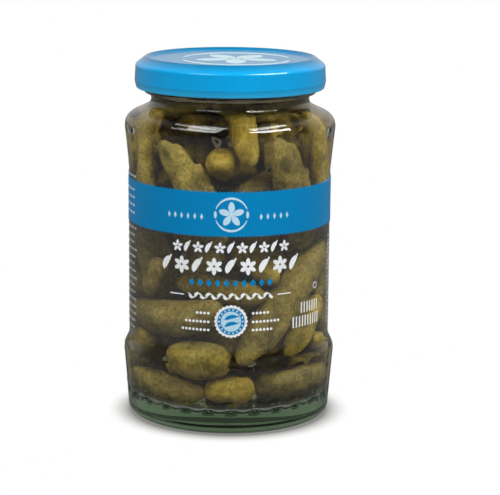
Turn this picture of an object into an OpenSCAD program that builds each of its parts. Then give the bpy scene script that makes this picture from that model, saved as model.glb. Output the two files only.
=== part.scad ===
// Pickle jar: a fluted glass jar with its brine, a twist-off metal lid and a wrapped label.
// Everything is turned about the Z axis. The jar stands on z = 0 and its label faces -Y.
// All sizes are in millimetres.

/* [Glass body] */
// Height of the glass up to its rim
jar_h = 128; // [118:0.1:155]
// Radius of the straight label panel
panel_r = 36.3; // [31:0.1:44]
// How far the base ring stands out from the panel
base_out = 1.99; // [1:0.01:3]
// How far the shoulder ring stands out from the panel
shoulder_out = 1.55; // [1:0.01:3]
// Height of the base ring at its widest
base_h = 23.8; // [20:0.1:30]
// Height of the ledge where the base ring runs into the panel
ledge_h = 6.4; // [5:0.1:9]
// Height of the shoulder ring, from the panel to its widest
shoulder_h = 15.1; // [12:0.1:19]
// Height from the widest of the shoulder to the narrowest of the neck
dome_h = 9.8; // [9:0.1:12]
// Height from the narrowest of the neck to the rim
finish_h = 12.9; // [12:0.1:16]
// Radius of the neck at its narrowest, outside
neck_r = 28.3; // [25:0.1:30]
// Rounding of the shoulder
shoulder_round = 5.5; // [4:0.1:6]
// Rounding of the corner between the shoulder and the neck
neck_round = 2.9; // [2:0.1:3.4]
// Rounding of the outer edge under the base
heel_round = 3.7; // [2.5:0.1:4.5]
// Width of the flat ring that the jar stands on
foot_w = 2.6; // [1.5:0.1:5]

/* [Glass walls] */
// Wall of the panel and the neck
wall = 2.4; // [1.6:0.1:3]
// Extra wall in the base ring and the shoulder ring
ring_extra = 0.6; // [0:0.1:1]
// Height of the inside floor
floor_h = 6.6; // [5:0.1:8]
// Rounding of the inside floor's edge
floor_round = 9; // [6:0.1:11]
// Height of the hollow under the base
punt_h = 1.6; // [0.6:0.1:3]
// Radius of the mouth at the rim, inside
mouth_r = 27.4; // [26.5:0.1:28]

/* [Fluting] */
// Number of flutes round each ring
flutes = 28; // [20:1:32]
// Depth of a flute
flute_depth = 0.34; // [0.2:0.01:0.45]
// Radius of the round tool that each flute is cut with
flute_tool_r = 16; // [12:0.5:22]
// Width of the land left between two flutes
flute_land = 0.7; // [0.5:0.1:2]
// Height at which the base flutes begin
base_flute_from = 8; // [7:0.1:10]
// Turn of the first flute from the front
flute_phase = 2.4; // [0:0.1:12]

/* [Finish] */
// Radius of the glass inside the lid
finish_r = 30.6; // [30:0.1:31]
// How far the ring under the lid stands out from the finish
bead_out = 0.5; // [0.3:0.1:0.7]
// How far the threads stand out from the finish
thread_out = 1.6; // [1.4:0.1:1.8]
// Height of a thread
thread_h = 1.6; // [1.2:0.1:2]
// Number of threads, each held by one lug of the lid
threads = 4; // [3:1:6]
// Length of each thread round the jar, in degrees
thread_arc = 62; // [30:1:70]

/* [Lid] */
// Radius of the lid at its widest
lid_r = 34.2; // [34:0.1:35]
// Height of the skirt, from its edge up to the corner
skirt_h = 7.6; // [7:0.1:8]
// How far the skirt leans in at its top
skirt_lean = 0.3; // [0:0.05:0.5]
// Thickness of the coated sheet
sheet = 0.35; // [0.25:0.05:0.5]
// Radius of the raised ring on top
crest_r = 30; // [29.4:0.1:30.4]
// Height of the raised ring above the skirt's corner
crest_h = 3.55; // [3:0.05:4]
// Depth of the middle panel below the raised ring
lid_recess = 0.9; // [0.5:0.1:1.3]
// Thickness of the liner in the channel over the rim
liner_t = 1.6; // [1.2:0.1:2]
// Radius of the curl round the skirt's edge
curl_r = 0.55; // [0.4:0.05:0.7]
// Width of each lug, in degrees
lug_arc = 15; // [8:1:20]
// Height of each lug
lug_h = 1.1; // [0.8:0.1:1.4]
// Clearance between the glass and the lid's liner at the rim
seat_gap = 0.1; // [0.05:0.05:0.3]
// Clearance between the lugs and the glass
lug_gap = 0.3; // [0.2:0.05:0.5]

/* [Label] */
// Thickness of the clear film
film_t = 0.1; // [0.08:0.01:0.15]
// Thickness of the coloured band on the film
band_t = 0.1; // [0.08:0.01:0.15]
// Clearance under each layer of the label
skin_gap = 0.01; // [0.01:0.01:0.03]
// Bare glass above and below the label
label_margin = 1.2; // [0.5:0.1:4]
// Gap between the film's two ends, at the back, in degrees
label_split = 4; // [2:0.5:12]
// Bare film between the band's top edge and the film's
band_drop = 1.6; // [1:0.1:6]
// Width of the coloured band
band_w = 16.2; // [12:0.1:20]
// Depth of the pinked teeth on the band's edges
tooth_depth = 0.6; // [0.3:0.1:1]
// Number of pinked teeth round the jar
teeth = 160; // [120:2:200]

/* [Contents] */
// Depth of the empty space between the rim and the brine
headspace = 7.4; // [6:0.1:10]
// Clearance between the brine and the glass
fill_gap = 0.03; // [0.02:0.01:0.1]

/* [Hidden] */
$fn = 120;
arc_steps = 5;

// Heights and radii up the glass
base_taper = 0.0815;
panel_from = base_h + ledge_h;
neck_h = jar_h - finish_h;
shoulder_top = neck_h - dome_h;
panel_to = shoulder_top - shoulder_h;
base_r = panel_r + base_out;
shoulder_r = panel_r + shoulder_out;
heel_top = heel_round + 0.8;
heel_r = base_r - (base_h - heel_top) * base_taper;
foot_r = heel_r - heel_round;

// Heights up the lid
liner_under = jar_h + seat_gap;
lid_top = liner_under + liner_t + sheet;
lid_corner = lid_top - crest_h;
lid_edge = lid_corner - skirt_h;
lid_panel = lid_top - lid_recess;
corner_round = 1.5;
crest_round = 0.7;

// Points along an arc about (r, z), from angle a to angle b, measured from outwards
function arc(r, z, radius, a, b) =
    [for (i = [0:arc_steps]) let (t = a + (b - a) * i / arc_steps)
        [r + radius * cos(t), z + radius * sin(t)]];

// An S-shaped run from one radius to another, between two heights
function ease(r1, z1, r2, z2) =
    [for (i = [0:arc_steps]) let (t = i / arc_steps)
        [r1 + (r2 - r1) * (1 - cos(180 * t)) / 2, z1 + (z2 - z1) * t]];

// Angle at which a line that leaves a convex arc (r1, z1, radius a) meets the concave arc above it
// (r2, z2, radius b). Both arcs have this angle where the line touches them.
function touch_angle(r1, z1, a, r2, z2, b) =
    atan2(z2 - z1, r2 - r1) - acos((a + b) / norm([r2 - r1, z2 - z1]));

bead_z = neck_h + 3.4;
bead_round = 1.6;
rim_round = 1.3;

// Outside of the glass, from the foot up to the rim
function outside() = let (
        round_in = shoulder_r - shoulder_round,
        neck_out = neck_r + neck_round,
        turn = touch_angle(round_in, shoulder_top, shoulder_round, neck_out, neck_h, neck_round))
    concat(
        [[foot_r - foot_w, 0]],
        arc(foot_r, heel_round, heel_round, -90, 0),
        [[heel_r, heel_top]],
        ease(base_r, base_h, panel_r, panel_from),
        [[panel_r, panel_to]],
        arc(round_in, shoulder_top, shoulder_round, 0, turn),
        arc(neck_out, neck_h, neck_round, 180 + turn, 140),
        arc(finish_r + bead_out - bead_round, bead_z, bead_round, -50, 60),
        [[finish_r, bead_z + bead_round + 0.4]],
        arc(finish_r - rim_round, jar_h - rim_round, rim_round, 0, 90));

// Inside of the glass, from the middle of the floor up, with a gap g left to the glass
ring_wall = wall + ring_extra;
inner_panel = panel_r - wall;
inner_base = base_r - ring_wall;
inner_shoulder = shoulder_r - ring_wall;
inner_round = shoulder_round - 1;
bore_r = neck_r - wall;
bore_z = neck_h - 0.6;
bore_round = neck_round + 0.5;
// The mouth's straight part begins higher up where the neck is much narrower than the finish
flare_rise = 1.1;
mouth_from = neck_h + flare_rise + finish_r - neck_r;

function inside(g) = let (
        round_in = inner_shoulder - inner_round,
        bore_out = bore_r + bore_round,
        turn = touch_angle(round_in, shoulder_top, inner_round, bore_out, bore_z, bore_round))
    concat(
        [[0, floor_h + g]],
        arc(inner_base - 0.5 - floor_round, floor_h + floor_round, floor_round - g, -90, 0),
        ease(inner_base - g, base_h - 1, inner_panel - g, panel_from + 1),
        [[inner_panel - g, panel_to]],
        arc(round_in, shoulder_top, inner_round - g, 0, turn),
        arc(bore_out, bore_z, bore_round + g, 180 + turn, 180));

// The round tool that cuts one flute: a rod with ball ends, kept to its own share of the ring.
// It leans with the ring's taper and lies flute_depth deep.
module flute(r1, z1, r2, z2, share) {
    lean = atan2(r2 - r1, z2 - z1);
    run = norm([r2 - r1, z2 - z1]);
    translate([r1, 0, z1]) rotate([0, lean, 0]) intersection() {
        translate([flute_tool_r - flute_depth, 0, 0]) rotate_extrude() intersection() {
            union() {
                square([flute_tool_r, run]);
                circle(r = flute_tool_r);
                translate([0, run]) circle(r = flute_tool_r);
            }
            translate([0, -flute_tool_r]) square([flute_tool_r, run + 2 * flute_tool_r]);
        }
        translate([-2, -share / 2, -run]) cube([4, share, 3 * run]);
    }
}

module flute_ring(r1, z1, r2, z2) {
    share = 2 * PI * min(r1, r2) / flutes - flute_land;
    for (i = [0:flutes - 1])
        rotate([0, 0, -90 + flute_phase + i * 360 / flutes]) flute(r1, z1, r2, z2, share);
}

module thread_ring() {
    z = jar_h - 7.2;
    for (i = [0:threads - 1])
        rotate([0, 0, -90 + i * 360 / threads + lug_arc / 2 + 4])
            rotate_extrude(angle = thread_arc)
                polygon([[finish_r - 0.5, z], [finish_r, z], [finish_r + thread_out, z + thread_h / 3],
                    [finish_r + thread_out, z + thread_h * 2 / 3], [finish_r, z + thread_h],
                    [finish_r - 0.5, z + thread_h]]);
}

// Glass: turned outside less turned inside, with the flutes cut in and the threads added
flute_inset = 3.4;
module glass_jar() {
    color([0.80, 0.87, 0.84, 0.45]) union() {
        difference() {
            rotate_extrude() polygon(concat(
                [[0, punt_h], [foot_r - foot_w - 5, punt_h]],
                outside(),
                [[mouth_r + 1, jar_h], [mouth_r, jar_h - 1]],
                [[mouth_r, mouth_from]],
                [for (i = [len(inside(0)) - 1:-1:0]) inside(0)[i]]));
            flute_ring(heel_r + (base_flute_from + flute_inset - heel_top) * base_taper,
                base_flute_from + flute_inset,
                base_r - flute_inset * base_taper, base_h - flute_inset);
            flute_ring(panel_r + shoulder_out * flute_inset / shoulder_h, panel_to + flute_inset,
                panel_r + shoulder_out * (1 - flute_inset / shoulder_h), shoulder_top - flute_inset);
        }
        thread_ring();
    }
}

// Brine: the inside as far up as its level, just above the lid's edge
brine_level = jar_h - headspace;
module brine() {
    color([0.72, 0.70, 0.38, 0.6]) rotate_extrude() intersection() {
        polygon(concat(
            inside(fill_gap),
            [[mouth_r - fill_gap, mouth_from + fill_gap], [mouth_r - fill_gap, jar_h], [0, jar_h]]));
        square([base_r, brine_level]);
    }
}

// Lid: one pressed sheet, with its liner filling the channel over the rim
module lid_skin() {
    corner_in = lid_r - skirt_lean - corner_round;
    curl_in = lid_r - 0.45 - curl_r;
    rotate_extrude() polygon(concat(
        arc(curl_in, lid_edge + curl_r, curl_r, -170, 0),
        [[lid_r, lid_edge + 2.6]],
        arc(corner_in, lid_corner, corner_round, 0, 57),
        arc(crest_r, lid_top - crest_round, crest_round, 57, 120),
        [[crest_r - 1.3, lid_panel], [0, lid_panel], [0, lid_panel - sheet],
            [mouth_r - 1.2, lid_panel - sheet], [mouth_r - 0.4, liner_under],
            [corner_in - 0.2, liner_under], [corner_in + corner_round - sheet, lid_corner],
            [lid_r - sheet, lid_edge + 2.6], [lid_r - 0.45 - sheet, lid_edge + 2 * curl_r]]));
}

module lid() {
    color([0.01, 0.58, 0.82]) union() {
        lid_skin();
        // the lugs, which pass the ring under the lid and grip under the threads
        lug_in = finish_r + bead_out + lug_gap;
        for (i = [0:threads - 1])
            rotate([0, 0, -90 - lug_arc / 2 + i * 360 / threads])
                rotate_extrude(angle = lug_arc)
                    translate([lug_in, lid_edge + 0.25]) square([lid_r - 0.6 - lug_in, lug_h]);
    }
}

// Label: a clear film wrapped round the panel, open by a narrow split at the back
film_r = panel_r + skin_gap;
module label_film() {
    color([0.93, 0.95, 0.96, 0.3])
        rotate([0, 0, 90 + label_split / 2]) rotate_extrude(angle = 360 - label_split)
            translate([film_r, panel_from + label_margin])
                square([film_t, panel_to - panel_from - 2 * label_margin]);
}

// Band: a strip of colour on the film, with pinked teeth along both edges
band_r = film_r + film_t + skin_gap;
band_to = panel_to - label_margin - band_drop;
module label_band() {
    cols = 2 * teeth;
    arc_len = 360 - label_split;
    points = [for (i = [0:cols]) let (a = 90 + label_split / 2 + arc_len * i / cols,
            bite = (i % 2) * tooth_depth)
        for (corner = [[band_r, band_to - band_w + bite], [band_r + band_t, band_to - band_w + bite],
            [band_r + band_t, band_to - bite], [band_r, band_to - bite]])
            [corner[0] * cos(a), corner[0] * sin(a), corner[1]]];
    sides = [for (i = [0:cols - 1]) for (k = [0:3])
        [4 * i + k, 4 * i + (k + 1) % 4, 4 * i + 4 + (k + 1) % 4, 4 * i + 4 + k]];
    ends = [[3, 2, 1, 0], [4 * cols, 4 * cols + 1, 4 * cols + 2, 4 * cols + 3]];
    color([0.0, 0.47, 0.69]) polyhedron(points, concat(sides, ends));
}

glass_jar();
brine();
lid();
label_film();
label_band();
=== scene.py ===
"""A jar of small pickled cucumbers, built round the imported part.

The glass, the brine, the lid and the label are turned or wrapped round the Z axis from a few sizes and
from the part's own boxes. The cucumbers are placed one by one, settled against each other and the
glass, and joined into one mesh for each skin. Everything is in metres, and a length given in millimetres
is multiplied by MM; only the cucumbers and the print are worked out in millimetres first.
"""
import math

import bpy
import numpy as np
from mathutils import Matrix, Vector, noise


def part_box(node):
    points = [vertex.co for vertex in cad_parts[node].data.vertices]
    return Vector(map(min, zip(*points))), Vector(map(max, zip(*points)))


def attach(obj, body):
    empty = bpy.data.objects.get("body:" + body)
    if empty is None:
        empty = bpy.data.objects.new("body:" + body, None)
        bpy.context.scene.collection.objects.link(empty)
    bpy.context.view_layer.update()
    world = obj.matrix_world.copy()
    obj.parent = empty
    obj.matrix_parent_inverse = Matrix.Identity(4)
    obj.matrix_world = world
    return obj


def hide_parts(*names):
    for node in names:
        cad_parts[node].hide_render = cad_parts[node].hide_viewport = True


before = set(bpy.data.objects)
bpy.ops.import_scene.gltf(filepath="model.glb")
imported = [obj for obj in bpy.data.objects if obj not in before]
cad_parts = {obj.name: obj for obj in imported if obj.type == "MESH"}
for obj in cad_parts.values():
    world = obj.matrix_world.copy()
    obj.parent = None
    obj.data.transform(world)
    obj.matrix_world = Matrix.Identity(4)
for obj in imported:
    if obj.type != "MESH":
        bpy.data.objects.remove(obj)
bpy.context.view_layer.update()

MM = 0.001
TAU = 2 * math.pi


# ---------------------------------------------------------------------------------------------
# Sizes, from the part's boxes and from a few measures of the jar's own
# ---------------------------------------------------------------------------------------------
glass_low, glass_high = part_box("glass_jar")
lid_low, lid_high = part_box("lid")
film_low, film_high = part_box("label_film")
band_low, band_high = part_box("label_band")
brine_low, brine_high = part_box("brine")

RIM_Z = glass_high.z
BASE_R = glass_high.x                  # the base ring at its widest
FILM_T = 0.10 * MM                     # film, and the ink of the band
PANEL_R = film_high.x - FILM_T - 0.01 * MM
SHOULDER_R = PANEL_R + 1.55 * MM       # the shoulder ring at its widest
NECK_R = PANEL_R - 8.0 * MM            # the neck at its narrowest
FINISH_R = PANEL_R - 5.7 * MM          # the glass inside the lid
MOUTH_R = FINISH_R - 3.2 * MM
WALL = 2.4 * MM
RING_WALL = 3.0 * MM                   # wall of the base ring and the shoulder ring
PUSH_UP = 1.6 * MM                     # how far the middle of the underside stands off the floor
NECK_Z = RIM_Z - 12.9 * MM
SHOULDER_Z = NECK_Z - 9.8 * MM
PANEL_TOP = SHOULDER_Z - 15.1 * MM
BASE_Z = 23.8 * MM
PANEL_FOOT = BASE_Z + 6.4 * MM
BEAD_Z = NECK_Z + 3.4 * MM
HEEL_ROUND = 3.7 * MM
HEEL_Z = HEEL_ROUND + 0.8 * MM
BASE_TAPER = 0.0815                    # how much narrower the base gets for each unit down
HEEL_R = BASE_R - (BASE_Z - HEEL_Z) * BASE_TAPER
FOOT_R = HEEL_R - HEEL_ROUND
FLOOR_Z = brine_low.z
LEVEL_Z = brine_high.z
FLUTES = 28
FLUTE_TURN = math.radians(2.4)         # where the first flute lies, from the front
FLUTE_DEEP = 0.42 * MM
FLUTE_HALF_WIDE = 3.7 * MM
# Each flute's foot, its head, and the length of its blunt ends.
BASE_FLUTE = (12.0 * MM, BASE_Z + 1.2 * MM, 1.7 * MM)
SHOULDER_FLUTE = (PANEL_TOP + 1.0 * MM, SHOULDER_Z + 1.5 * MM, 3.0 * MM)
DIMPLE_Z = 9.8 * MM                    # a ring of small oval dimples, one below each flute
DIMPLE_DEEP = 0.7 * MM
DIMPLE_HALF_WIDE = 2.7 * MM
DIMPLE_HALF_HIGH = 1.4 * MM
BAND_R = band_high.x                   # outer face of the printed band
INK_T = 0.03 * MM                      # white and blue ink, printed over the film
ROOM = "3c3c3c"                        # the dim room at the front, as glass and lacquer mirror it
BACKDROP = "d0d0d0"                    # the bright backdrop behind the jar
FLOOR_LIGHT = "7c7c7c"                 # what the white floor throws back at the jar


# ---------------------------------------------------------------------------------------------
# Small tools
# ---------------------------------------------------------------------------------------------
def linear(hexcode):
    """An sRGB colour such as "0094d2" as linear numbers, with full alpha."""
    part = [int(hexcode[i:i + 2], 16) / 255 for i in (0, 2, 4)]
    return [c / 12.92 if c <= 0.04045 else ((c + 0.055) / 1.055) ** 2.4 for c in part] + [1.0]


def arc(r, z, radius, start, end, steps=12):
    """Points along an arc about (r, z), between two angles in degrees, measured from outwards."""
    turn = np.radians(np.linspace(start, end, steps + 1))
    return [(r + radius * math.cos(t), z + radius * math.sin(t)) for t in turn]


def ease(r1, z1, r2, z2, steps=14):
    """An S-shaped run from one radius to another, between two heights."""
    return [(r1 + (r2 - r1) * (1 - math.cos(math.pi * t)) / 2, z1 + (z2 - z1) * t)
            for t in np.linspace(0, 1, steps + 1)]


def touch_angle(r1, z1, a, r2, z2, b):
    """The angle, in degrees, at which a straight line leaves a convex arc of radius a about (r1, z1) to
    meet the concave arc of radius b about (r2, z2)."""
    between = math.hypot(r2 - r1, z2 - z1)
    return math.degrees(math.atan2(z2 - z1, r2 - r1) - math.acos((a + b) / between))


def divided(outline, longest):
    """The same outline with its long stretches cut into pieces no longer than that."""
    points = [outline[0]]
    for (r1, z1), (r2, z2) in zip(outline, outline[1:]):
        count = max(1, math.ceil(math.hypot(r2 - r1, z2 - z1) / longest))
        points += [(r1 + (r2 - r1) * k / count, z1 + (z2 - z1) * k / count)
                   for k in range(1, count + 1)]
    return points


def mesh_object(name, points, faces, material, smooth=True):
    """A mesh in the collection, with its one material."""
    mesh = bpy.data.meshes.new(name)
    mesh.from_pydata([tuple(map(float, p)) for p in points], [], faces)
    mesh.validate()
    mesh.polygons.foreach_set("use_smooth", [smooth] * len(mesh.polygons))
    mesh.materials.append(material)
    piece = bpy.data.objects.new(name, mesh)
    bpy.context.collection.objects.link(piece)
    return piece


def turned(name, outline, material, segments, press=None):
    """A closed shell turned from an outline of (r, z) that begins and ends on the axis.
    press(angle, r, z) gives how far a point is pushed in towards the axis."""
    on_axis = 1e-9
    rings, points, faces = [], [], []
    angles = [TAU * k / segments for k in range(segments)]
    for r, z in outline:
        if r < on_axis:
            rings.append([len(points)] * segments)
            points.append((0, 0, z))
            continue
        rings.append(list(range(len(points), len(points) + segments)))
        for a in angles:
            pressed = r - (press(a, r, z) if press else 0)
            points.append((pressed * math.cos(a), pressed * math.sin(a), z))
    for low, high in zip(rings, rings[1:]):
        for k in range(segments):
            n = (k + 1) % segments
            face = [low[k], low[n], high[n], high[k]]
            faces.append(list(dict.fromkeys(face)))        # a triangle where a ring is one point
    return mesh_object(name, points, faces, material)


def material(name):
    """A new node material; returns it with its node tree and its main shader."""
    made = bpy.data.materials.new(name)
    made.use_nodes = True
    return made, made.node_tree, made.node_tree.nodes["Principled BSDF"]


def feed(tree, target, **inputs):
    """Feeds a node's inputs, by name or, as i0 or i6, by number: a value sets one, a socket links to it."""
    for key, value in inputs.items():
        by_number = key[0] == "i" and key[1:].isdigit()
        socket = target.inputs[int(key[1:]) if by_number else key.replace("_", " ")]
        if isinstance(value, bpy.types.NodeSocket):
            tree.links.new(value, socket)
        else:
            socket.default_value = value


def colour_stops(band, stops):
    """Gives a colour ramp its (place, hex colour) stops."""
    while len(band.elements) < len(stops):
        band.elements.new(0.5)
    for element, (place, colour) in zip(band.elements, stops):
        element.position = place
        element.color = linear(colour)


def node(tree, kind, settings=(), stops=None, **inputs):
    """Adds a node with its settings, a ramp's stops, and what feeds its inputs."""
    added = tree.nodes.new(kind)
    for key, value in dict(settings).items():
        setattr(added, key, value)
    if stops:
        colour_stops(added.color_ramp, stops)
    feed(tree, added, **inputs)
    return added


def scale_of(millimetres):
    """The scale that gives a noise or cell pattern features of this size."""
    return 1 / (millimetres * MM)


# ---------------------------------------------------------------------------------------------
# Materials
# ---------------------------------------------------------------------------------------------
def let_light_in(tree, shader):
    """Lamps reach what lies behind glass or brine as if neither were there, so that nothing inside
    comes out dark or grainy."""
    clear = node(tree, "ShaderNodeBsdfTransparent", Color=linear("f4f4f4"))
    shade = node(tree, "ShaderNodeLightPath").outputs["Is Shadow Ray"]
    mix = node(tree, "ShaderNodeMixShader", i0=shade, i1=shader.outputs[0], i2=clear.outputs[0])
    feed(tree, tree.nodes["Material Output"], Surface=mix.outputs[0])


def flint_glass():
    """Soda-lime container glass, blown: clear, fire-polished and faintly wavy, with a green tinge that
    shows where it is thick."""
    made, tree, shader = material("flint_glass")
    feed(tree, shader, Base_Color=linear("ffffff"), Roughness=0.0, IOR=1.52, Transmission_Weight=1.0)
    tint = node(tree, "ShaderNodeVolumeAbsorption", Color=linear("bacdb5"), Density=60.0)
    feed(tree, tree.nodes["Material Output"], Volume=tint.outputs[0])
    let_light_in(tree, shader)
    where = node(tree, "ShaderNodeTexCoord").outputs["Object"]
    ripple = node(tree, "ShaderNodeTexNoise", Vector=where, Scale=scale_of(18.18), Detail=1.0)
    waves = node(tree, "ShaderNodeBump", Strength=0.02, Distance=0.2 * MM, Height=ripple.outputs[0])
    feed(tree, shader, Normal=waves.outputs[0])
    return made


def brine_liquid():
    """Vinegar brine: almost water, with the yellow-green of the cucumbers in it."""
    made, tree, shader = material("brine")
    feed(tree, shader, Base_Color=linear("ffffff"), Roughness=0.0, IOR=1.34, Transmission_Weight=1.0)
    tint = node(tree, "ShaderNodeVolumeAbsorption", Color=linear("c9b982"), Density=22.0)
    feed(tree, tree.nodes["Material Output"], Volume=tint.outputs[0])
    let_light_in(tree, shader)
    return made


def pickle_skin(name, dark, middle, light):
    """Pickled gherkin skin: waxy, clouded over about 8 mm, with dark specks and a finer mottle of about
    1 mm. It lies in brine, which takes away nearly all its gloss."""
    made, tree, shader = material(name)
    where = node(tree, "ShaderNodeTexCoord").outputs["Object"]
    cloud = node(tree, "ShaderNodeTexNoise", Vector=where, Scale=scale_of(8.333), Detail=4.0, Roughness=0.6)
    skin = node(tree, "ShaderNodeValToRGB", stops=[(0.32, dark), (0.5, middle), (0.68, light)],
                Fac=cloud.outputs[0])
    specks = node(tree, "ShaderNodeTexVoronoi", Vector=where, Scale=scale_of(1.4286))
    dots = node(tree, "ShaderNodeValToRGB", stops=[(0.12, "b0b0b0"), (0.36, "000000")],
                Fac=specks.outputs["Distance"])
    spotted = node(tree, "ShaderNodeMix", dict(data_type="RGBA"),
                   i0=dots.outputs[0], i6=skin.outputs[0], i7=linear(dark))
    mottle = node(tree, "ShaderNodeTexNoise", Vector=where, Scale=scale_of(1.1111), Detail=2.0)
    fleck = node(tree, "ShaderNodeValToRGB", stops=[(0.38, "8c8a80"), (0.58, "ffffff")],
                 Fac=mottle.outputs[0])
    worn = node(tree, "ShaderNodeMix", dict(data_type="RGBA", blend_type="MULTIPLY"),
                i0=0.45, i6=spotted.outputs[2], i7=fleck.outputs[0])
    pores = node(tree, "ShaderNodeBump", Strength=0.4, Distance=0.25 * MM, Height=mottle.outputs[0])
    feed(tree, shader, Base_Color=worn.outputs[2], Normal=pores.outputs[0])
    feed(tree, shader, Roughness=0.42, Specular_IOR_Level=0.08)
    return made


def lid_lacquer():
    """Tinplate under a gloss blue lacquer, with the faint orange peel that roller coating leaves. Painted
    shade darkens the raised ring and the panel, and painted light makes the curl at the foot paler."""
    made, tree, shader = material("lid_lacquer")
    where = node(tree, "ShaderNodeTexCoord").outputs["Object"]
    height = node(tree, "ShaderNodeSeparateXYZ", Vector=where).outputs["Z"]
    level = node(tree, "ShaderNodeMapRange", i0=height, i1=lid_low.z, i2=lid_high.z)
    # painted light and shade: the lacquer is darker on the raised ring and the panel, where less light
    # falls, and paler on the curl at the foot, which faces down into shade
    curl, skirt, panel, crest = (0.04, "2cbcf6"), "009edc", (0.90, "0480b2"), (0.98, "036e9a")
    coats = node(tree, "ShaderNodeValToRGB", stops=[curl, (0.26, skirt), (0.74, skirt), panel, crest],
                 Fac=level.outputs[0])
    cloud = node(tree, "ShaderNodeTexNoise", Vector=where, Scale=scale_of(16.67), Detail=3.0)
    cloudy = node(tree, "ShaderNodeValToRGB", stops=[(0.3, "f2f2f2"), (0.7, "ffffff")],
                  Fac=cloud.outputs[0])
    shade = node(tree, "ShaderNodeMix", dict(data_type="RGBA", blend_type="MULTIPLY"),
                 i0=1.0, i6=coats.outputs[0], i7=cloudy.outputs[0])
    peel = node(tree, "ShaderNodeTexNoise", Vector=where, Scale=scale_of(1.1111), Detail=1.0)
    dents = node(tree, "ShaderNodeBump", Strength=0.05, Distance=0.1 * MM, Height=peel.outputs[0])
    feed(tree, shader, Base_Color=shade.outputs[2], Normal=dents.outputs[0])
    feed(tree, shader, Roughness=0.30, Specular_IOR_Level=0.2, Coat_Weight=0.6, Coat_Roughness=0.1)
    return made


def printed_ink(name, first, second):
    """Screen-printed ink on film: satin, nearly even, with a grain of about 0.7 mm. The real grain is
    finer, and too fine to show."""
    made, tree, shader = material(name)
    where = node(tree, "ShaderNodeTexCoord").outputs["Object"]
    grain = node(tree, "ShaderNodeTexNoise", Vector=where, Scale=scale_of(0.6667), Detail=2.0)
    shade = node(tree, "ShaderNodeValToRGB", stops=[(0.35, first), (0.65, second)], Fac=grain.outputs[0])
    tooth = node(tree, "ShaderNodeBump", Strength=0.06, Distance=0.02 * MM, Height=grain.outputs[0])
    feed(tree, shader, Base_Color=shade.outputs[0], Normal=tooth.outputs[0])
    feed(tree, shader, Roughness=0.34, Specular_IOR_Level=0.2)
    return made


def clear_film():
    """Clear polypropylene label film, glued flat to the glass: only a faint sheen of it shows."""
    made, tree, shader = material("clear_film")
    where = node(tree, "ShaderNodeTexCoord").outputs["Object"]
    haze = node(tree, "ShaderNodeTexNoise", Vector=where, Scale=scale_of(11.11), Detail=2.0)
    shade = node(tree, "ShaderNodeValToRGB", stops=[(0.3, "e6ebe8"), (0.7, "f4f6f5")], Fac=haze.outputs[0])
    feed(tree, shader, Base_Color=shade.outputs[0])
    feed(tree, shader, Roughness=0.35, Specular_IOR_Level=0.1, Alpha=0.006)
    return made


def pale_floor():
    """Matt white card. It glows evenly white, with a painted soft shadow within 12 mm of where the jar
    stands, darker where ambient occlusion finds the jar, and throws little light back at the jar."""
    made, tree, shader = material("pale_floor")
    reach = 12 * MM
    # painted shadow: the floor's glow is turned down where ambient occlusion finds the jar close by
    near = node(tree, "ShaderNodeAmbientOcclusion", dict(samples=16), Distance=reach)
    shade = node(tree, "ShaderNodeValToRGB", Fac=near.outputs["AO"],
                 stops=[(0.44, "8a8a87"), (0.58, "c0bfbd"), (0.72, "e8e8e7"), (0.88, "ffffff")])
    feed(tree, shader, Base_Color=linear("000000"), Specular_IOR_Level=0.0)
    feed(tree, shader, Emission_Color=shade.outputs[0], Emission_Strength=1.0)
    dim = node(tree, "ShaderNodeEmission", Color=linear(FLOOR_LIGHT))
    seen = node(tree, "ShaderNodeLightPath").outputs["Is Camera Ray"]
    mix = node(tree, "ShaderNodeMixShader", i0=seen, i1=dim.outputs[0], i2=shader.outputs[0])
    feed(tree, tree.nodes["Material Output"], Surface=mix.outputs[0])
    return made


GLASS = flint_glass()
BRINE = brine_liquid()
LACQUER = lid_lacquer()
BLUE_INK = printed_ink("band_blue", "007eb8", "0084be")
WHITE_INK = printed_ink("white_ink", "e6eaea", "f2f5f5")
SMALL_INK = printed_ink("small_print_ink", "a9adab", "b6bab8")
PALE_INK = printed_ink("pale_blue_ink", "b4d8ea", "c4e2f0")
LID_INK = printed_ink("lid_white_ink", "a8c0ca", "b2c8d0")
FILM = clear_film()
SKINS = [pickle_skin("olive_skin", "5c5024", "96833c", "b29d55"),
         pickle_skin("brown_skin", "544824", "877538", "a18d52"),
         pickle_skin("yellow_skin", "6a5a1a", "937c2b", "ad9845"),
         # a darker copy of the brown skin: painted shade for cucumbers low in the jar, where little light
         # reaches
         pickle_skin("dark_skin", "40361a", "6a5d2e", "82733f")]
OLIVE, BROWN, YELLOW, DARK = range(len(SKINS))


# ---------------------------------------------------------------------------------------------
# Glass jar
# ---------------------------------------------------------------------------------------------
def glass_outside():
    """The outside of the glass, from the middle of the underside up to the rim."""
    shoulder_round, neck_round, bead_round, rim_round = 5.5 * MM, 2.9 * MM, 1.6 * MM, 1.3 * MM
    inward, outward = SHOULDER_R - shoulder_round, NECK_R + neck_round
    bead_r = FINISH_R + 0.5 * MM - bead_round
    turn = touch_angle(inward, SHOULDER_Z, shoulder_round, outward, NECK_Z, neck_round)
    return ([(0, PUSH_UP), (FOOT_R - 7.6 * MM, PUSH_UP), (FOOT_R - 2.6 * MM, 0)]
            + arc(FOOT_R, HEEL_ROUND, HEEL_ROUND, -90, 0)
            + [(HEEL_R, HEEL_Z)]
            + ease(BASE_R, BASE_Z, PANEL_R, PANEL_FOOT)
            + [(PANEL_R, PANEL_TOP)]
            + arc(inward, SHOULDER_Z, shoulder_round, 0, turn)
            + arc(outward, NECK_Z, neck_round, 180 + turn, 140)
            + arc(bead_r, BEAD_Z, bead_round, -50, 60)
            + [(FINISH_R, BEAD_Z + bead_round + 0.4 * MM)]
            + arc(FINISH_R - rim_round, RIM_Z - rim_round, rim_round, 0, 90))


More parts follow.
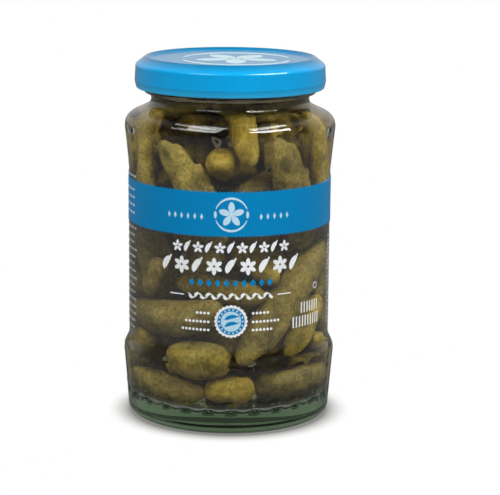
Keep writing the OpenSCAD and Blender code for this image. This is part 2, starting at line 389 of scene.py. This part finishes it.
def glass_inside(gap):
    """The inside of the glass, from the middle of the floor up. A gap above 0 stands off the glass, and
    one below 0 reaches into it."""
    inner_round, bore_round, floor_round = 4.5 * MM, 3.4 * MM, 9 * MM
    inner_base, inner_panel = BASE_R - RING_WALL, PANEL_R - WALL
    inner_shoulder, bore_r = SHOULDER_R - RING_WALL, NECK_R - WALL
    inward, outward, bore_z = inner_shoulder - inner_round, bore_r + bore_round, NECK_Z - 0.6 * MM
    turn = touch_angle(inward, SHOULDER_Z, inner_round, outward, bore_z, bore_round)
    corner_r, corner_z = inner_base - 0.5 * MM - floor_round, FLOOR_Z + floor_round
    return ([(0, FLOOR_Z + gap)]
            + arc(corner_r, corner_z, floor_round - gap, -90, 0)
            + ease(inner_base - gap, BASE_Z - MM, inner_panel - gap, PANEL_FOOT + MM)
            + [(inner_panel - gap, PANEL_TOP)]
            + arc(inward, SHOULDER_Z, inner_round - gap, 0, turn)
            + arc(outward, bore_z, bore_round + gap, 180 + turn, 180))


def hollow(depth, reach):
    """How deep a round-bottomed hollow is at a place: reach is 0 at its middle and 1 at its edge."""
    return depth * max(0.0, 1 - reach) ** 0.75


def flute_press(angle, r, z):
    """How far the glass is pushed in at a place: shallow flutes with short, blunt ends, and below each
    flute of the base a small oval dimple. The inside and the neck stay plain."""
    if r <= PANEL_R - 0.3 * MM:
        return 0.0
    pitch = TAU / FLUTES
    across = ((angle + math.pi / 2 - FLUTE_TURN + pitch / 2) % pitch - pitch / 2) * r
    oval = (across / DIMPLE_HALF_WIDE) ** 2 + ((z - DIMPLE_Z) / DIMPLE_HALF_HIGH) ** 2
    if oval < 1:
        return hollow(DIMPLE_DEEP, oval)
    for foot, head, blunt in (BASE_FLUTE, SHOULDER_FLUTE):
        if foot < z < head:
            end = max(0.0, 1 - min(z - foot, head - z) / blunt)
            return hollow(FLUTE_DEEP, (across / FLUTE_HALF_WIDE) ** 2 + end * end)
    return 0.0


def glass_jar():
    """The whole jar in one shell: up the outside, over the rim and down the inside."""
    outside = divided(glass_outside(), longest=0.9 * MM)
    inside = divided([(MOUTH_R, BEAD_Z), *reversed(glass_inside(0.0))], longest=2.5 * MM)
    rim = [(MOUTH_R + MM, RIM_Z), (MOUTH_R, RIM_Z - MM)]
    jar = turned("jar_glass", outside + rim + inside, GLASS, segments=FLUTES * 10, press=flute_press)
    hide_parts("glass_jar")
    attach(jar, "root")


def brine():
    """The liquid, which reaches just into the wall, so that no air shows between them."""
    sunk = 0.12 * MM
    wall = divided(glass_inside(-sunk), longest=2.5 * MM)
    top = [(MOUTH_R + sunk, BEAD_Z), (MOUTH_R + sunk, LEVEL_Z), (0, LEVEL_Z)]
    liquid = turned("brine_liquid", wall + top, BRINE, segments=FLUTES * 6)
    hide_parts("brine")
    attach(liquid, "root")


glass_jar()
brine()


# ---------------------------------------------------------------------------------------------
# Cucumbers
# ---------------------------------------------------------------------------------------------
# The ones that show at the front, one by one: low end, high end, thickness, bend and skin, in millimetres.
# The bend is the way in which the middle is pushed out of the straight line.
CHOSEN = [
    ((-26, -14.5, 75), (-23.5, -13.5, 106), 8.2, (-3, 1, 0), YELLOW),
    ((-5, -24.5, 71), (-20, -18.5, 98), 12, (1.5, 0, 1.5), OLIVE),
    ((2.5, 6, 89), (-2.5, -24.5, 95.5), 12, (0, 0, 1), YELLOW),
    ((6, -23, 99), (-1, -13, 117), 9, (1, 0, 1), YELLOW),
    ((24, -12.5, 68), (15, -21, 98), 12.5, (2.2, -0.5, 0), BROWN),
    ((29, -2, 82), (26, -8.5, 104), 9.5, (0, 0, 0), YELLOW),
    ((7, -16, 83), (19, -5, 87), 10.5, (0, 0, 1.5), BROWN),
    ((21, 2, 93), (8, -7.5, 105.5), 9.5, (0, 0, 1), OLIVE),
    ((4, -25.5, 29.5), (26.5, -7.5, 60), 13.5, (1.5, -1, 1.5), BROWN),
    ((21, -18, 28), (27.5, -9, 41), 10, (0, 0, 0), YELLOW),
    ((14, -14, 27), (19, -6, 44), 9, (0, 0, 1), OLIVE),
    ((-26, -9, 40), (-6, -25.5, 37), 13, (0, -1.5, -3), BROWN),
    ((-24, -13, 48), (-22.5, -15.5, 55), 8.5, (0, 0, 0), BROWN),
    ((-12, -11, 50), (9, -22.5, 47.5), 9, (0, 0, 0), YELLOW),
    ((13.5, -20.5, 54.5), (4, -8, 60), 9, (0, 0, 1), YELLOW),
    ((-3.5, -24.5, 25), (-12, -21.5, 29.5), 13.5, (0, 0, 0), OLIVE),
    ((-3.5, -23.5, 12.3), (2.5, -24, 12.6), 11, (0, 0, 0), YELLOW),
    ((-12, -20, 12.5), (-28, -8, 15.5), 11.5, (0, -1, 0), BROWN),
    # this lowest one wears the skin with painted shade
    ((13.5, -19.5, 15), (29, -6, 17), 12, (1, -1, 1), DARK),
]
# Spaces that stay open, from a low corner to a high one, so that the gaps there look dark.
OPEN = [((-40, -40, 57), (-8, 8, 73)), ((-22, -40, 97), (6, 6, 125))]


def filling():
    """More of them behind and between the chosen ones, in layers, each leaning its own way: in each layer
    five along the back of the jar and two in its middle."""
    draw = np.random.default_rng(seed=11)
    layers, lowest, rise, back_r = 6, 15, 17.5, 25         # the heights and radii here are in millimetres
    more = []
    for layer in range(layers):
        around = np.linspace(0.02, 0.98, 5) * math.pi + draw.uniform(-0.12, 0.12, 5)
        spots = [(back_r * math.cos(a), back_r * math.sin(a)) for a in around] + [(-9, 4), (9, 6)]
        for x, y in spots:
            length, thick = draw.uniform(20, 34), draw.uniform(10, 13.5)
            lean = Vector(draw.normal(0, 1, 3)) * 0.8 + Vector((0, 0, 1))
            half = lean.normalized() * length / 2
            middle = Vector((x, y, lowest + rise * layer + draw.uniform(-3, 3)))
            bend = tuple(draw.uniform(-1.5, 1.5, 3))
            if any(all(a < m < b for a, m, b in zip(low, middle, high)) for low, high in OPEN):
                continue
            skin = int(draw.integers(OLIVE, DARK))         # any but the one with painted shade
            more.append((tuple(middle - half), tuple(middle + half), thick, bend, skin))
    return more


def settle(sorts, steps=260):
    """Pushes the cucumbers apart, and in from the glass, until they only touch. Each is a row of balls
    on a bent line; the chosen ones give way less than the rest."""
    ends = np.array([[low, high] for low, high, *_ in sorts], float)
    radius = np.array([thick / 2 for _, _, thick, *_ in sorts])
    bend = np.array([b for *_, b, _ in sorts], float)
    length = np.linalg.norm(ends[:, 1] - ends[:, 0], axis=1)
    give = np.where(np.arange(len(sorts)) < len(CHOSEN), 0.04, 1.0)
    count = 8                                              # balls in a row
    along = np.linspace(0, 1, count)
    owner = np.repeat(np.arange(len(sorts)), count)
    share = np.tile(along, len(sorts))
    ball = radius[owner] * np.tile(np.where((along == 0) | (along == 1), 0.92, 1.0), len(sorts))
    wall = np.array(glass_inside(0.0)) / MM
    low_z, high_z = FLOOR_Z / MM, LEVEL_Z / MM
    wall_gap, floor_gap, level_gap = 0.5, 0.4, 1           # how clear they keep, in millimetres
    ease_off, spread = 0.45, 2.2                           # these damp each step, so that none jumps

    def wall_r(z):
        return np.interp(z.clip(low_z + floor_gap), wall[:, 1], wall[:, 0])

    apart = owner[:, None] != owner[None, :]
    for step in range(steps):
        centre = (ends[owner, 0] * (1 - share)[:, None] + ends[owner, 1] * share[:, None]
                  + bend[owner] * (4 * share * (1 - share))[:, None])
        gap = centre[:, None] - centre[None, :]
        far = np.linalg.norm(gap, axis=2) + 1e-6
        over = np.where(apart, ball[:, None] + ball[None, :] - far, 0).clip(0)
        pull = give[owner][:, None] / (give[owner][:, None] + give[owner][None, :])
        push = (gap / far[:, :, None] * (over * pull)[:, :, None]).sum(axis=1) * ease_off
        # keep clear of the glass, the floor and the surface of the brine
        room = np.full(len(centre), 99.0)
        for offset in np.linspace(-0.95, 0.95, 9):
            wide = ball * math.sqrt(1 - offset ** 2)
            room = np.minimum(room, wall_r(centre[:, 2] + offset * ball) - wide)
        out = np.hypot(centre[:, 0], centre[:, 1])
        excess = (out - room + wall_gap).clip(0)
        push[:, :2] -= centre[:, :2] / out.clip(1e-6)[:, None] * excess[:, None]
        push[:, 2] += (low_z + ball + floor_gap - centre[:, 2]).clip(0)
        push[:, 2] -= (centre[:, 2] - high_z + ball + level_gap).clip(0)
        for end, weight in ((0, 1 - share), (1, share)):
            moved = np.zeros_like(ends[:, 0])
            np.add.at(moved, owner, push * weight[:, None])
            ends[:, end] += moved / spread
        # each keeps its length
        middle, half = ends.mean(axis=1), (ends[:, 1] - ends[:, 0]) / 2
        half *= (length / 2 / np.linalg.norm(half, axis=1))[:, None]
        ends[:, 0], ends[:, 1] = middle - half, middle + half
    return ends


def cucumber(low, high, thick, bend, seed, fine):
    """One pickled cucumber: a bent, blunt-ended body, a little three-sided, with warts and dimpled ends.
    Sizes are in millimetres. Returns its points, in metres, and its faces."""
    draw = np.random.default_rng(seed)
    rings, sides = (96, 60) if fine else (60, 40)
    low, high, bend = np.array(low), np.array(high), np.array(bend)
    radius = thick / 2
    axis = (high - low) / np.linalg.norm(high - low)
    reach = np.linalg.norm(high - low) / 2 + radius * 0.95
    side = np.cross(axis, (0, 0, 1) if abs(axis[2]) < 0.9 else (1, 0, 0))
    side /= np.linalg.norm(side)
    other = np.cross(axis, side)
    # u runs along the body from -1 to 1, and phi runs round it
    u = np.concatenate([[-1], -np.cos(np.linspace(0.02, math.pi - 0.02, rings)), [1]])
    phi = np.linspace(0, TAU, sides, endpoint=False)
    line = (low + high) / 2 + axis * (u * reach)[:, None] + bend * (1 - u ** 2).clip(0)[:, None]
    shape = (1 - np.abs(u) ** 2.9).clip(0) ** 0.5 * (1 + 0.06 * draw.uniform(-1, 1) * u)
    three, turn = draw.uniform(0.01, 0.04), draw.uniform(0, TAU)
    ring = 1 + three * np.cos(3 * phi + turn) + 0.5 * three * np.cos(2 * phi - turn)
    r = radius * shape[:, None] * ring[None, :]
    outward = side * np.cos(phi)[:, None] + other * np.sin(phi)[:, None]
    body = line[:, None] + r[:, :, None] * outward[None]
    # waves about 6 mm long, and warts up to a third of a millimetre high, four or so to each millimetre
    # of half its length
    flat = body.reshape(-1, 3)
    wave = np.array([noise.noise(Vector(p) * 0.16 + Vector((seed, 0, 0))) for p in flat]).reshape(r.shape)
    warts = int(reach * 4.2)
    at_u, at_phi = draw.uniform(-0.93, 0.93, warts), draw.uniform(0, TAU, warts)
    tall, wide = draw.uniform(0.15, 0.42, warts), draw.uniform(0.6, 1.15, warts)
    rise = np.zeros(r.shape)
    for wart_u, wart_phi, h, w in zip(at_u, at_phi, tall, wide):
        across = ((phi - wart_phi + math.pi) % TAU - math.pi)[None, :] * radius * 0.95
        length = (u - wart_u)[:, None] * reach
        rise += h * np.exp(-(across ** 2 + length ** 2) / (w * w))
    fade = (1 - np.abs(u) ** 8).clip(0)[:, None]
    r = r + (wave * 0.55 + rise * 0.8) * fade
    body = line[:, None] + r[:, :, None] * outward[None]
    # one point at each end, set a little in, and the rings between
    body[0], body[-1] = line[0] + axis * 0.5, line[-1] - axis * 0.35
    points = np.concatenate([body[0, :1], body[1:-1].reshape(-1, 3), body[-1, :1]]) * MM
    faces = []
    for i in range(rings - 1):
        for k in range(sides):
            a, b = 1 + i * sides + k, 1 + i * sides + (k + 1) % sides
            faces.append((a, b, b + sides, a + sides))
    last = len(points) - 1
    faces += [(0, 1 + (k + 1) % sides, 1 + k) for k in range(sides)]
    faces += [(last, last - sides + k, last - sides + (k + 1) % sides) for k in range(sides)]
    return points, faces


def cucumbers():
    """All of them, as one mesh for each kind of skin. The chosen ones are made finer than the rest."""
    sorts = CHOSEN + filling()
    ends = settle(sorts)
    for kind, skin in enumerate(SKINS):
        points, faces = [], []
        for k, ((low, high), (_, _, thick, bend, own)) in enumerate(zip(ends, sorts)):
            if own != kind:
                continue
            more, its_faces = cucumber(low, high, thick, bend, seed=k + 1, fine=k < len(CHOSEN))
            faces += [tuple(v + len(points) for v in face) for face in its_faces]
            points += list(more)
        piece = mesh_object(skin.name.replace("skin", "gherkins"), points, faces, skin)
        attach(piece, "root")


cucumbers()
for name, look in (("lid", LACQUER), ("label_band", BLUE_INK), ("label_film", FILM)):
    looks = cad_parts[name].data.materials
    looks.clear()
    looks.append(look)


# ---------------------------------------------------------------------------------------------
# Print. Shapes are drawn flat, in millimetres, as (points, faces), then laid on the label or the lid.
# On the label x runs round from the front, to the right, and y is the height above the floor.
# ---------------------------------------------------------------------------------------------
def fan(outline):
    """A filled shape, star-shaped about its middle."""
    middle = tuple(np.mean(outline, axis=0))
    count = len(outline)
    return [middle, *outline], [(0, 1 + k, 1 + (k + 1) % count) for k in range(count)]


def placed(outline, x, y, angle=0.0):
    """The same points turned by an angle in degrees, and moved to x, y."""
    turn = math.radians(angle)
    c, s = math.cos(turn), math.sin(turn)
    return [(x + u * c - v * s, y + u * s + v * c) for u, v in outline]


def stroke(line, width, closed=False):
    """A line of even width, or one with its own width at each point."""
    line = np.array(line, float)
    ahead, behind = np.roll(line, -1, axis=0), np.roll(line, 1, axis=0)
    if not closed:
        ahead[-1], behind[0] = line[-1], line[0]
    along = (ahead - behind) / np.linalg.norm(ahead - behind, axis=1)[:, None]
    side = np.stack([-along[:, 1], along[:, 0]], axis=1) * (np.broadcast_to(width, len(line)) / 2)[:, None]
    count = len(line)
    points = [*map(tuple, line + side), *map(tuple, line - side)]
    last = count if closed else count - 1
    return points, [(k, count + k, count + (k + 1) % count, (k + 1) % count) for k in range(last)]


def round_points(r, count=40, petals=0, depth=0.0):
    """A circle, or one whose edge goes in and out a number of times."""
    points = []
    for a in np.linspace(0, TAU, count, endpoint=False):
        reach = r * (1 + depth * math.cos(petals * a))
        points.append((reach * math.cos(a), reach * math.sin(a)))
    return points


def disc(x, y, r, **edge):
    """A filled round; edge is what round_points takes."""
    return fan(placed(round_points(r, **edge), x, y))


def leaf(x, y, length, width, angle=0.0):
    """Pointed at both ends."""
    t = np.linspace(0, math.pi, 9)
    upper = [(-length / 2 * math.cos(a), width / 2 * math.sin(a) ** 1.2) for a in t]
    return fan(placed(upper + [(u, -v) for u, v in upper[-2:0:-1]], x, y, angle))


def blossom(x, y, r, petals=5, angle=90):
    """The cucumber's own flower, seen from the front: pointed petals round an open eye."""
    out, length, width = 0.56 * r, 0.88 * r, 0.5 * r
    return [leaf(x + out * math.cos(t), y + out * math.sin(t), length, width, math.degrees(t))
            for t in math.radians(angle) + TAU * np.arange(petals) / petals]


def gherkin(x, y, length, width, angle=0.0):
    """A plump little cucumber, slightly bent, with a stub of stalk."""
    t = np.linspace(-1, 1, 11)
    line = [(length / 2 * u, 0.12 * length * (1 - u * u)) for u in t]
    body = stroke(placed(line, x, y, angle), width * (1 - np.abs(t) ** 3.2 * 0.92))
    tip = placed([(length / 2 * 0.95, 0), (length / 2 * 1.25, 0.05 * length)], x, y, angle)
    return [body, stroke(tip, 0.28 * width)]


def diamond(x, y, width, height):
    return fan([(x - width / 2, y), (x, y - height / 2), (x + width / 2, y), (x, y + height / 2)])


def bar(x, y, width, height):
    """A rectangle about x, y, cut every 2 mm or less, so that it bends round the jar."""
    steps = max(2, math.ceil(width / 2) + 1)
    return stroke([(u, y) for u in np.linspace(x - width / 2, x + width / 2, steps)], height)


def printed(name, shapes, ink, lay, base):
    """A thin layer of ink in the given flat shapes, closed at its edges. lay(x, y, base) puts a point on
    a surface: base is the label's radius there, or the lid's height."""
    points, faces = [], []
    for flat, flat_faces in shapes:
        first, count = len(points), len(flat)
        points += [lay(x, y, base + INK_T) for x, y in flat] + [lay(x, y, base) for x, y in flat]
        for face in flat_faces:
            faces.append([first + v for v in face])
            faces.append([first + count + v for v in reversed(face)])
        edges = [edge for face in flat_faces for edge in zip(face, face[1:] + face[:1])]
        drawn = set(edges)
        faces += [[first + v, first + count + v, first + count + w, first + w]
                  for v, w in edges if (w, v) not in drawn]
    piece = mesh_object(name, points, faces, ink, smooth=False)
    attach(piece, "root")


def on_label(x, y, r):
    """A drawn point wrapped round the label, at that radius."""
    a = x * MM / BAND_R - math.pi / 2
    return r * math.cos(a), r * math.sin(a), y * MM


def on_lid(x, y, z):
    """A drawn point on the lid's flat middle, at that height."""
    return x * MM, y * MM, z


def broken_ring(x, y, r, start, sweep, width, swell, count):
    """Two arcs across from each other, thin at their ends and full in the middle; angles in degrees."""
    shapes = []
    for begin in (start, start + 180):
        turn = np.radians(np.linspace(begin, begin + sweep, count))
        line = [(x + r * math.cos(a), y + r * math.sin(a)) for a in turn]
        shapes.append(stroke(line, width + swell * np.sin(np.linspace(0, math.pi, count))))
    return shapes


MIDDLE = 1.1                           # the front print's own middle, a little right of the jar's


def band_print():
    """Pale motifs on the blue band: a blossom in a broken ring, with a row of lozenges on each side."""
    y = 79.2
    shapes = blossom(MIDDLE, y, 4.5) + [disc(MIDDLE, y, 0.75)]
    shapes += broken_ring(MIDDLE, y, 5.7, start=20, sweep=140, width=0.25, swell=0.55, count=30)
    for side, count in ((-1, 6), (1, 5)):
        shapes.append(leaf(MIDDLE + side * 5.6, y, 2.6, 1.0, 90))
        shapes += [diamond(MIDDLE + side * (10.4 + 2.5 * k), y - 0.9, 1.1, 2.3) for k in range(count)]
    return shapes


def band_side_print():
    """Four rows of dashes at the left of the band."""
    return [bar(-62 + 3.1 * k, y, 2.2, 0.75) for k in range(7) for y in (75.4, 78.2, 81, 83.8)]


def front_print():
    """White motifs below the band."""
    shapes = []
    # first row: small gherkins and blossoms by turns
    y, pitch = 67.4, 3.9
    for k in range(11):
        x = MIDDLE + (k - 5) * pitch
        shapes += gherkin(x, y, 4.0, 1.5, 62) if k % 2 else blossom(x, y, 2.1)
    # second row: the same, larger
    y, pitch = 60.9, 5.95
    for k in range(9):
        x = MIDDLE + (k - 4) * pitch
        shapes += gherkin(x, y, 5.6, 2.2, 58) if k % 2 == 0 else blossom(x, y, 3.1, petals=6)
    # a vine between two thin rules
    y, half_long, wave_high, wave_long = 50.3, 15.2, 0.75, 4.1
    x = np.linspace(MIDDLE - half_long, MIDDLE + half_long, 90)
    wave = wave_high * np.sin((x - MIDDLE) * TAU / wave_long)
    shapes.append(stroke(list(zip(x, y + wave)), 0.42))
    for k in range(15):
        up = 1 if k % 2 else -1
        shapes.append(leaf(MIDDLE + (k - 7) * wave_long / 2, y + up * 0.55, 1.9, 0.95, 40 * up))
    shapes += [bar(MIDDLE + side * 19.7, y, 5.6, 0.4) for side in (-1, 1)]
    # three short rows of beads on each side of the seal
    seal_gap, pitch = 7.9, 1.35
    for y, left, right in ((44.2, 4, 5), (41.1, 7, 8), (38.2, 8, 6)):
        for side, count in ((-1, left), (1, right)):
            shapes += [disc(MIDDLE + side * (seal_gap + pitch * k), y, 0.5, count=10) for k in range(count)]
    # two rows of upright dashes and a little ring at the right
    for y, start, count in ((44.1, 27.8, 7), (39.2, 23.9, 10)):
        shapes += [bar(MIDDLE + start + 1.5 * k, y, 0.62, 3.9) for k in range(count)]
    shapes.append(stroke(placed(round_points(1.1, count=24), MIDDLE + 35.5, 51), 0.32, closed=True))
    return shapes


def side_print():
    """Rows of dashes at the left, and a ruled panel and a row of upright bars towards the back."""
    draw = np.random.default_rng(seed=5)
    shapes = []
    left, right, space = -64.0, -42.5, 0.8
    for y in [*np.arange(33.5, 70, 2.6), *np.arange(86.0, 89, 2.6)]:
        x = left
        while x < right:
            run = draw.uniform(1.2, 3.6)
            shapes.append(bar(x + run / 2, y, run, 0.75))
            x += run + space
    left, right, thin = 48, 74, 0.35
    for y in np.arange(35, 68, 3.0):
        shapes.append(bar((left + right) / 2, y, right - left, thin))
        shapes.append(bar(50.5 + draw.uniform(0, 1), y + 1.5, 5, 0.8))
        shapes.append(bar(71, y + 1.5, draw.uniform(2, 5), 0.8))
    shapes += [bar(x, 50, thin, 30.3) for x in (left, right)]
    left, right = -98.0, -76
    x = left
    while x < right:
        wide = draw.choice([0.45, 0.9, 1.35])
        shapes.append(bar(x + wide / 2, 47, wide, 16))
        x += wide + draw.choice([0.5, 0.9, 1.3])
    return shapes


def seal():
    """The round seal: scalloped white edge, blue ring with pale beads, pale disc with two gherkins. Each
    layer lies on the ones below it."""
    x, y, ring_r = MIDDLE + 0.1, 41.4, 4.2
    edge = [disc(x, y, 5.75, count=192, petals=24, depth=0.035)]
    ring = [stroke(placed(round_points(ring_r), x, y), 1.25, closed=True)]
    beads = [disc(x + ring_r * math.cos(a), y + ring_r * math.sin(a), 0.36, count=10)
             for a in np.linspace(0, TAU, 18, endpoint=False)]
    pair = gherkin(x, y + 1.15, 4.6, 1.3, 14) + gherkin(x, y - 1.25, 4.6, 1.3, 14)
    step = INK_T + 0.004 * MM
    on_film, on_edge, on_ring = film_high.x, film_high.x + step, film_high.x + 2 * step
    printed("seal_edge", edge, WHITE_INK, on_label, on_film)
    printed("seal_ring", ring, BLUE_INK, on_label, on_edge)
    printed("seal_disc", [disc(x, y, 3.45)], PALE_INK, on_label, on_edge)
    printed("seal_beads", beads, PALE_INK, on_label, on_ring)
    printed("seal_gherkins", pair, BLUE_INK, on_label, on_ring)


def lid_print():
    """The blossom again, large and pale, in the sunk middle of the lid."""
    x, y = 2.0, -1.5
    shapes = blossom(x, y, 15, angle=126) + [disc(x, y, 2.6)]
    return shapes + broken_ring(x, y, 19.3, start=15, sweep=150, width=0.9, swell=2.0, count=60)


lozenges = [diamond(MIDDLE + (k - 4.5) * 3.1, 55.0, 2.0, 2.9) for k in range(10)]
printed("band_motifs", band_print(), PALE_INK, on_label, BAND_R)
printed("front_motifs", front_print(), WHITE_INK, on_label, film_high.x)
printed("side_motifs", side_print(), SMALL_INK, on_label, film_high.x)
printed("blue_motifs", lozenges, BLUE_INK, on_label, film_high.x)
printed("band_side_motifs", band_side_print(), PALE_INK, on_label, BAND_R)
seal()
printed("lid_motifs", lid_print(), LID_INK, on_lid, lid_high.z - 0.9 * MM)


# ---------------------------------------------------------------------------------------------
# Floor, light and camera
# ---------------------------------------------------------------------------------------------
def stage():
    """A white card floor and backdrop. The room in front of them is dim, so the glass stays clear."""
    half = 20.0
    corners = [(-half, -half, 0), (half, -half, 0), (half, half, 0), (-half, half, 0)]
    floor = mesh_object("floor", corners, [(0, 1, 2, 3)], pale_floor(), smooth=False)
    world = bpy.data.worlds.new("studio")
    world.use_nodes = True
    tree = world.node_tree
    away = node(tree, "ShaderNodeTexCoord").outputs["Generated"]
    y = node(tree, "ShaderNodeSeparateXYZ", Vector=away).outputs["Y"]
    room = node(tree, "ShaderNodeValToRGB", stops=[(0.10, ROOM), (0.60, BACKDROP)], Fac=y)
    seen = node(tree, "ShaderNodeLightPath").outputs["Is Camera Ray"]
    light = node(tree, "ShaderNodeMix", dict(data_type="RGBA"),
                 i0=seen, i6=room.outputs[0], i7=linear("ffffff"))
    feed(tree, tree.nodes["Background"], Color=light.outputs[2], Strength=1.0)
    bpy.context.scene.world = world


def softbox(name, azimuth, elevation, distance, width, height, power, mirrored=True):
    """A rectangular soft light that faces the jar's middle, with its angles in degrees, its sizes in
    metres and its power in watts. Azimuth 0 is on the camera's side, and it grows to the right. One that
    is not mirrored leaves no streak on glass or lacquer."""
    aim = Vector((0, 0, 65 * MM))
    a, e = math.radians(azimuth), math.radians(elevation)
    place = aim + distance * Vector((math.sin(a) * math.cos(e), -math.cos(a) * math.cos(e), math.sin(e)))
    lamp = bpy.data.lights.new(name, "AREA")
    lamp.shape, lamp.size, lamp.size_y, lamp.energy = "RECTANGLE", width, height, power
    holder = bpy.data.objects.new(name, lamp)
    holder.visible_glossy = mirrored
    holder.location = place
    holder.rotation_euler = (aim - place).to_track_quat("-Z", "Y").to_euler()
    bpy.context.collection.objects.link(holder)


def camera():
    """A long lens, above the lid and a little to the right, turned down by nearly 12 degrees."""
    lens = bpy.data.cameras.new("camera")
    lens.sensor_width = 36                                 # this and the next are in millimetres
    lens.lens = 143.8
    right, away, above_band, down, roll = 7.56 * MM, 711.3 * MM, 136.74 * MM, 11.73, 0.518
    holder = bpy.data.objects.new("camera", lens)
    holder.location = (right, -away, band_low.z + above_band)
    tilted = Matrix.Rotation(math.radians(90 - down), 3, "X")
    rolled = Matrix.Rotation(math.radians(roll), 3, "Z")
    holder.rotation_euler = (tilted @ rolled).to_euler()
    bpy.context.collection.objects.link(holder)
    bpy.context.scene.camera = holder


stage()
# name, azimuth, elevation, distance, width, height, power
softbox("left_softbox", -52, 50, 1.1, 0.9, 0.16, 2.6)
softbox("right_softbox", 56, 46, 1.1, 0.8, 0.22, 12)
softbox("top_softbox", 180, 62, 1.2, 0.9, 0.5, 1.0)
softbox("fill_light", -34, 46, 1.3, 0.8, 0.8, 12, mirrored=False)
camera()
settings = bpy.context.scene
settings.view_settings.view_transform = "Standard"
# enough for light to cross the glass and the brine, and both again on its way out
settings.cycles.max_bounces = 24
settings.cycles.transmission_bounces = 24
settings.cycles.transparent_max_bounces = 16
